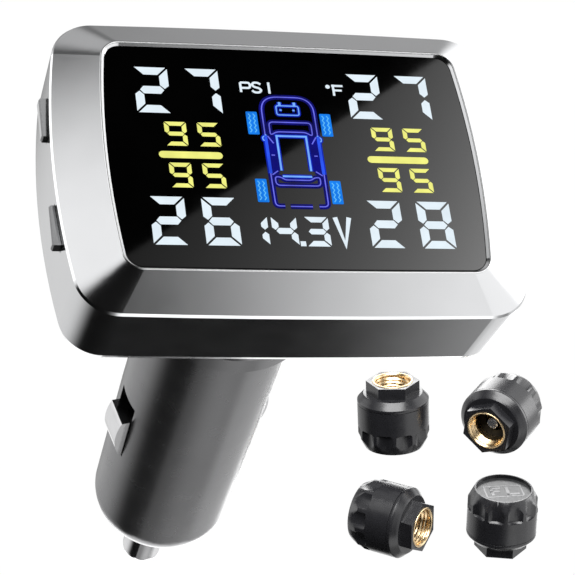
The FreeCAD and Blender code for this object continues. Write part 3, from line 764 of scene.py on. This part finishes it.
def plain(name, colour, strength):
    """Matt colour with a glow of its own, for the surround and the floor."""
    material, _, shader = new_material(name)
    shader.inputs["Base Color"].default_value = (*colour, 1)
    shader.inputs["Roughness"].default_value = 0.9
    shader.inputs["Emission Color"].default_value = (1, 1, 1, 1)
    shader.inputs["Emission Strength"].default_value = strength
    return material


def build_backdrop():
    """White surround that only the camera sees, and a pale floor well below the object."""
    bm = bmesh.new()
    bmesh.ops.create_icosphere(bm, subdivisions=4, radius=BACKDROP_RADIUS)
    surround = new_object("backdrop", new_mesh("backdrop", bm))
    surround.data.materials.append(plain("backdrop_white", (0, 0, 0), 1.0))
    for ray in ("diffuse", "glossy", "transmission", "volume_scatter", "shadow"):
        setattr(surround, "visible_" + ray, False)
    bm = bmesh.new()
    bmesh.ops.create_circle(bm, cap_ends=True, segments=96, radius=FLOOR_RADIUS)
    floor = new_object("floor", new_mesh("floor", bm))
    floor.location = FLOOR_AT
    floor.data.materials.append(plain("floor_white", (0.9, 0.9, 0.9), FLOOR_GLOW))
    for ray in ("diffuse", "glossy", "shadow"):
        setattr(floor, "visible_" + ray, False)


def build_camera():
    data = bpy.data.cameras.new("camera")
    data.lens = CAMERA_LENS
    data.sensor_width = CAMERA_SENSOR
    data.clip_start, data.clip_end = CAMERA_CLIP
    camera = new_object("camera", data)
    camera.location = CAMERA_AT
    camera.rotation_euler = Vector(CAMERA_LOOK).to_track_quat("-Z", "Y").to_euler()
    bpy.context.scene.camera = camera
    bpy.context.scene.view_settings.view_transform = "Standard"


def group(name, members):
    """Collection of the objects that one light is meant for."""
    made = bpy.data.collections.new(name)
    for member in members:
        made.objects.link(member)
    return made


def area_light(name, at, toward, width, power, only):
    """Square soft box at a point, in metres, facing another. It lights only one collection."""
    data = bpy.data.lights.new(name, "AREA")
    data.shape = "RECTANGLE"
    data.size, data.size_y = width, width
    data.energy = power
    lamp = new_object(name, data)
    lamp.visible_camera = False
    lamp.location = at
    lamp.rotation_euler = (Vector(toward) - Vector(at)).to_track_quat("-Z", "Y").to_euler()
    lamp.light_linking.receiver_collection = only


# The screen's reflection is a card parallel to it. Its shaded area is given on the glass, in
# millimetres, as it is seen from the camera.
CARD_HEIGHT = 0.35
CARD_ON_GLASS = ((-60.0, -39.84), (60.0, 42.24), (60.0, -60.0), (-60.0, -60.0))
CARD_RADIANCE = 0.82
CARD_FADE = (0.055, -0.03)            # growth per millimetre across and up the glass


def card_material(centre, reach):
    """Light that fades evenly, as a share, along each axis of the card."""
    material, tree, _ = new_material("reflection_card")
    tree.nodes.clear()
    spot = node(tree, "SeparateXYZ", {0: node(tree, "TexCoord").outputs["Object"]})
    terms = []
    for axis, rate in enumerate(CARD_FADE):
        off = combine(tree, "SUBTRACT", spot.outputs[axis], centre[axis])
        terms.append(combine(tree, "MULTIPLY", off, rate / MM / (1 + reach)))
    growth = combine(tree, "ADD", *terms)
    power = node(tree, "Math", {0: growth}, operation="EXPONENT").outputs[0]
    glow = node(tree, "Emission", {"Strength": combine(tree, "MULTIPLY", power, CARD_RADIANCE)})
    tree.links.new(glow.outputs[0], node(tree, "OutputMaterial").inputs["Surface"])
    return material


def build_reflection(place):
    """Light card that only the screen's glass reflects, fading towards the lower left."""
    eye = place.inverted() @ Vector(CAMERA_AT)
    reach = CARD_HEIGHT / eye.z
    corners = []
    for corner in CARD_ON_GLASS:
        x, y = [axis * MM + (axis * MM - seen) * reach for axis, seen in zip(corner, eye.xy)]
        corners.append((x, y, CARD_HEIGHT))
    mesh = bpy.data.meshes.new("reflection_card")
    mesh.from_pydata(corners, [], [range(len(corners))])
    mesh.materials.append(card_material([-axis * reach for axis in eye.xy], reach))
    card = new_object("reflection_card", mesh, place)
    for ray in ("camera", "diffuse", "shadow"):
        setattr(card, "visible_" + ray, False)
    card.light_linking.receiver_collection = group("glass_only", [NODES["screen_lens"]])


# Pieces of the plug that can be seen from outside
PLUG_OUTSIDE = ("plug_barrel", "neck_knuckle", "nose_ring", "tip_contact", "side_contact_left",
                "side_contact_right")

# Soft boxes for one group of pieces each, which is the first word of the name: where the group
# is, the direction the light comes from, its distance and width in metres, and its radiance
LOCAL_LIGHTS = {
    "sensor_top": ((0.09, 0.15, -0.03), (0.16, 0.74, 0.65), 0.40, 0.24, 5.6),
    "sensor_front": ((0.09, 0.15, -0.03), (-0.27, -0.72, 0.63), 0.40, 0.34, 9.0),
    "sensor_side": ((0.09, 0.15, -0.03), (0.95, -0.10, 0.25), 0.40, 0.20, 3.0),
    "key_front": ((-0.03, -0.03, 0.02), (0.28, -0.476, 0.833), 0.60, 0.36, 0.45),
    "plug_below": ((0.0, 0.02, -0.02), (0.10, 0.26, -0.96), 0.25, 0.23, 0.22),
    "plug_nose": ((0.0, 0.04, -0.03), (0.10, 0.80, -0.58), 0.30, 0.22, 1.6),
    "bore_low": ((0.099, 0.151, -0.019), (-0.757, 0.03, -0.653), 0.20, 0.12, 1.6),
}


def build_local_lights(groups):
    for name, (spot, direction, distance, width, radiance) in LOCAL_LIGHTS.items():
        only = group(name + "_only", groups[name.split("_")[0]])
        at = Vector(spot) + Vector(direction).normalized() * distance
        area_light(name, at, spot, width, radiance * math.pi * width ** 2, only)


def build_sensors():
    """Threads, labels and soft edges. Gives the pieces of the sensors, and those in their bores."""
    every = [piece for name, piece in NODES.items() if name.startswith("sensor_")]
    in_bore = []
    for wheel in WHEEL_LABEL:
        at = sensor_frame(wheel)
        thread = build_insert(wheel, at)
        every += [build_label(wheel, at), thread]
        in_bore += [thread, NODES[f"sensor_{wheel}_depressor"]]
        for part, width in EDGE_BREAKS.items():
            break_edges(NODES[f"sensor_{wheel}_{part}"], width)
    return every, in_bore


build_camera()
build_world()
build_backdrop()
dress_frame()
screen = display_frame()
build_reflection(screen)
build_graphics(screen)
build_bead(screen)
build_spring()
sensor_pieces, bore_pieces = build_sensors()
build_local_lights({
    "sensor": sensor_pieces,
    "bore": bore_pieces,
    "key": [NODES["key_upper"], NODES["key_lower"]],
    "plug": [NODES[name] for name in PLUG_OUTSIDE],
})
